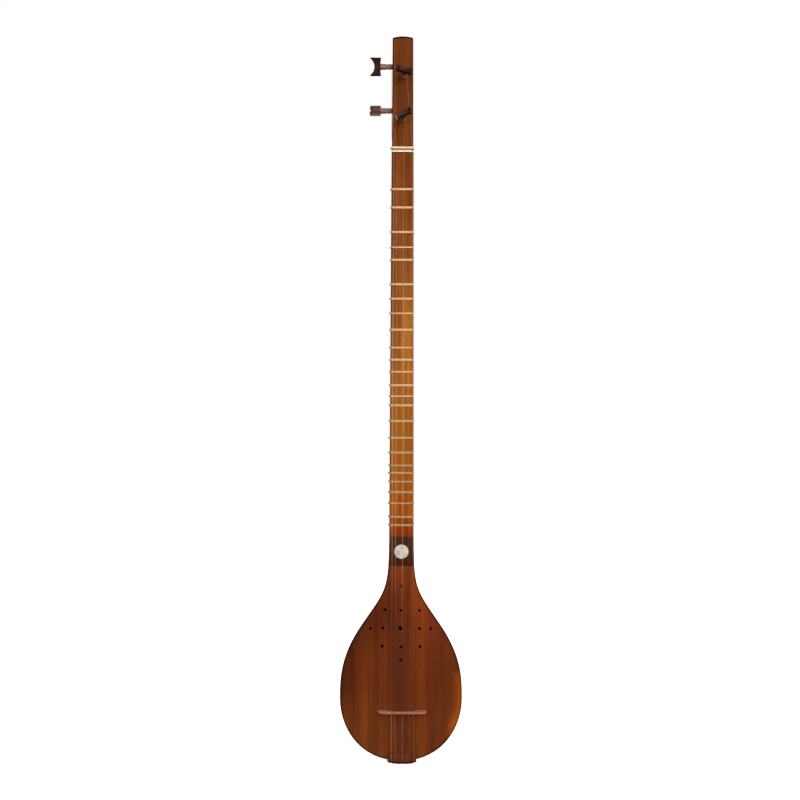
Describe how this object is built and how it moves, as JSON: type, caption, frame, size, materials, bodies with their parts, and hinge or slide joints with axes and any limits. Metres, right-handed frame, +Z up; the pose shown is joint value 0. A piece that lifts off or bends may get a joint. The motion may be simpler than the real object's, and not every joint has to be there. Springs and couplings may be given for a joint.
{
  "type": "setar",
  "caption": "Long-necked plucked lute with a staved pear-shaped bowl, tied gut frets, friction pegs and a loose bridge.",
  "frame": {"origin": "on the flat end of the string holder, in the plane of the soundboard's face, on the neck's centre line", "axes": "+Z up the neck towards the head, -Y out of the soundboard towards the player's hand, +X to the right as seen from the front"},
  "size_m": [0.143, 0.1593, 0.85],
  "materials": {
    "board_wood": "oiled mulberry with a soft gloss, straight grain up the board",
    "stave_wood": "oiled mulberry with a soft gloss",
    "holder_wood": "oiled dark wood, soft gloss",
    "neck_wood": "oiled walnut, soft gloss",
    "facing_wood": "oiled walnut facing, lighter where the hand plays",
    "plate_wood": "dark hardwood, polished",
    "cap_wood": "dark hardwood, polished",
    "peg_wood": "dark turned and carved hardwood, soft gloss",
    "bridge_wood": "bare pale hardwood",
    "block_wood": "bare softwood, inside the bowl",
    "bone": "polished bone",
    "pearl": "polished mother-of-pearl, left plain",
    "gut": "twisted gut, slightly glossy",
    "steel_string": "bright drawn wire",
    "bronze_string": "bright bronze wire"
  },
  "bodies": {
    "root": {"bowl_stave_1": "stave_wood", "bowl_stave_2": "stave_wood", "bowl_stave_3": "stave_wood", "bowl_stave_4": "stave_wood", "bowl_stave_5": "stave_wood", "bowl_stave_6": "stave_wood", "bowl_stave_7": "stave_wood", "bowl_stave_8": "stave_wood", "bowl_stave_9": "stave_wood", "soundboard": "board_wood", "tail_block": "block_wood", "throat_block": "block_wood", "neck": "neck_wood", "head_cap": "cap_wood", "fingerboard": "facing_wood", "throat_plate": "plate_wood", "pearl_disc": "pearl", "nut": "bone", "string_tie": "gut", "string_holder": "holder_wood", "string_1": "steel_string", "string_2": "bronze_string", "string_3": "steel_string", "string_4": "bronze_string"},
    "bridge": {"bridge": "bridge_wood"},
    "peg_side_lower": {"peg_side_lower": "peg_wood", "winding_side_lower": "steel_string"},
    "peg_side_upper": {"peg_side_upper": "peg_wood", "winding_side_upper": "bronze_string"},
    "peg_front_lower": {"peg_front_lower": "peg_wood", "winding_front_lower": "steel_string"},
    "peg_front_upper": {"peg_front_upper": "peg_wood", "winding_front_upper": "bronze_string"},
    "fret_01": {"fret_01": "gut"},
    "fret_02": {"fret_02": "gut"},
    "fret_03": {"fret_03": "gut"},
    "fret_04": {"fret_04": "gut"},
    "fret_05": {"fret_05": "gut"},
    "fret_06": {"fret_06": "gut"},
    "fret_07": {"fret_07": "gut"},
    "fret_08": {"fret_08": "gut"},
    "fret_09": {"fret_09": "gut"},
    "fret_10": {"fret_10": "gut"},
    "fret_11": {"fret_11": "gut"},
    "fret_12": {"fret_12": "gut"},
    "fret_13": {"fret_13": "gut"},
    "fret_14": {"fret_14": "gut"},
    "fret_15": {"fret_15": "gut"},
    "fret_16": {"fret_16": "gut"},
    "fret_17": {"fret_17": "gut"},
    "fret_18": {"fret_18": "gut"},
    "fret_19": {"fret_19": "gut"},
    "fret_20": {"fret_20": "gut"},
    "fret_21": {"fret_21": "gut"},
    "fret_22": {"fret_22": "gut"},
    "fret_23": {"fret_23": "gut"},
    "fret_24": {"fret_24": "gut"},
    "fret_25": {"fret_25": "gut"}
  },
  "joints": [
    {"name": "bridge_slide", "type": "slide", "parent": "root", "child": "bridge", "axis": [0, 0, 1], "range_m": [-0.0025, 0.0025]},
    {"name": "peg_side_lower_turn", "type": "hinge", "parent": "root", "child": "peg_side_lower", "pos_m": [-0.01243, 0.01133, 0.76565], "axis": [-1, 0, 0], "continuous": true},
    {"name": "peg_side_upper_turn", "type": "hinge", "parent": "root", "child": "peg_side_upper", "pos_m": [-0.01223, 0.01113, 0.81744], "axis": [-1, 0, 0], "continuous": true},
    {"name": "peg_front_lower_turn", "type": "hinge", "parent": "root", "child": "peg_front_lower", "pos_m": [0.0005, 0, 0.75352], "axis": [0, -1, 0], "continuous": true},
    {"name": "peg_front_upper_turn", "type": "hinge", "parent": "root", "child": "peg_front_upper", "pos_m": [0.00123, 0, 0.80377], "axis": [0, -1, 0], "continuous": true},
    {"name": "fret_01_slide", "type": "slide", "parent": "root", "child": "fret_01", "axis": [0, 0, 1], "range_m": [-0.002, 0.002]},
    {"name": "fret_02_slide", "type": "slide", "parent": "root", "child": "fret_02", "axis": [0, 0, 1], "range_m": [-0.002, 0.002]},
    {"name": "fret_03_slide", "type": "slide", "parent": "root", "child": "fret_03", "axis": [0, 0, 1], "range_m": [-0.002, 0.002]},
    {"name": "fret_04_slide", "type": "slide", "parent": "root", "child": "fret_04", "axis": [0, 0, 1], "range_m": [-0.002, 0.002]},
    {"name": "fret_05_slide", "type": "slide", "parent": "root", "child": "fret_05", "axis": [0, 0, 1], "range_m": [-0.002, 0.002]},
    {"name": "fret_06_slide", "type": "slide", "parent": "root", "child": "fret_06", "axis": [0, 0, 1], "range_m": [-0.002, 0.002]},
    {"name": "fret_07_slide", "type": "slide", "parent": "root", "child": "fret_07", "axis": [0, 0, 1], "range_m": [-0.002, 0.002]},
    {"name": "fret_08_slide", "type": "slide", "parent": "root", "child": "fret_08", "axis": [0, 0, 1], "range_m": [-0.002, 0.002]},
    {"name": "fret_09_slide", "type": "slide", "parent": "root", "child": "fret_09", "axis": [0, 0, 1], "range_m": [-0.002, 0.002]},
    {"name": "fret_10_slide", "type": "slide", "parent": "root", "child": "fret_10", "axis": [0, 0, 1], "range_m": [-0.002, 0.002]},
    {"name": "fret_11_slide", "type": "slide", "parent": "root", "child": "fret_11", "axis": [0, 0, 1], "range_m": [-0.002, 0.002]},
    {"name": "fret_12_slide", "type": "slide", "parent": "root", "child": "fret_12", "axis": [0, 0, 1], "range_m": [-0.002, 0.002]},
    {"name": "fret_13_slide", "type": "slide", "parent": "root", "child": "fret_13", "axis": [0, 0, 1], "range_m": [-0.002, 0.002]},
    {"name": "fret_14_slide", "type": "slide", "parent": "root", "child": "fret_14", "axis": [0, 0, 1], "range_m": [-0.002, 0.002]},
    {"name": "fret_15_slide", "type": "slide", "parent": "root", "child": "fret_15", "axis": [0, 0, 1], "range_m": [-0.002, 0.002]},
    {"name": "fret_16_slide", "type": "slide", "parent": "root", "child": "fret_16", "axis": [0, 0, 1], "range_m": [-0.002, 0.002]},
    {"name": "fret_17_slide", "type": "slide", "parent": "root", "child": "fret_17", "axis": [0, 0, 1], "range_m": [-0.002, 0.002]},
    {"name": "fret_18_slide", "type": "slide", "parent": "root", "child": "fret_18", "axis": [0, 0, 1], "range_m": [-0.002, 0.002]},
    {"name": "fret_19_slide", "type": "slide", "parent": "root", "child": "fret_19", "axis": [0, 0, 1], "range_m": [-0.002, 0.002]},
    {"name": "fret_20_slide", "type": "slide", "parent": "root", "child": "fret_20", "axis": [0, 0, 1], "range_m": [-0.002, 0.002]},
    {"name": "fret_21_slide", "type": "slide", "parent": "root", "child": "fret_21", "axis": [0, 0, 1], "range_m": [-0.002, 0.002]},
    {"name": "fret_22_slide", "type": "slide", "parent": "root", "child": "fret_22", "axis": [0, 0, 1], "range_m": [-0.002, 0.002]},
    {"name": "fret_23_slide", "type": "slide", "parent": "root", "child": "fret_23", "axis": [0, 0, 1], "range_m": [-0.002, 0.002]},
    {"name": "fret_24_slide", "type": "slide", "parent": "root", "child": "fret_24", "axis": [0, 0, 1], "range_m": [-0.002, 0.002]},
    {"name": "fret_25_slide", "type": "slide", "parent": "root", "child": "fret_25", "axis": [0, 0, 1], "range_m": [-0.002, 0.002]}
  ]
}
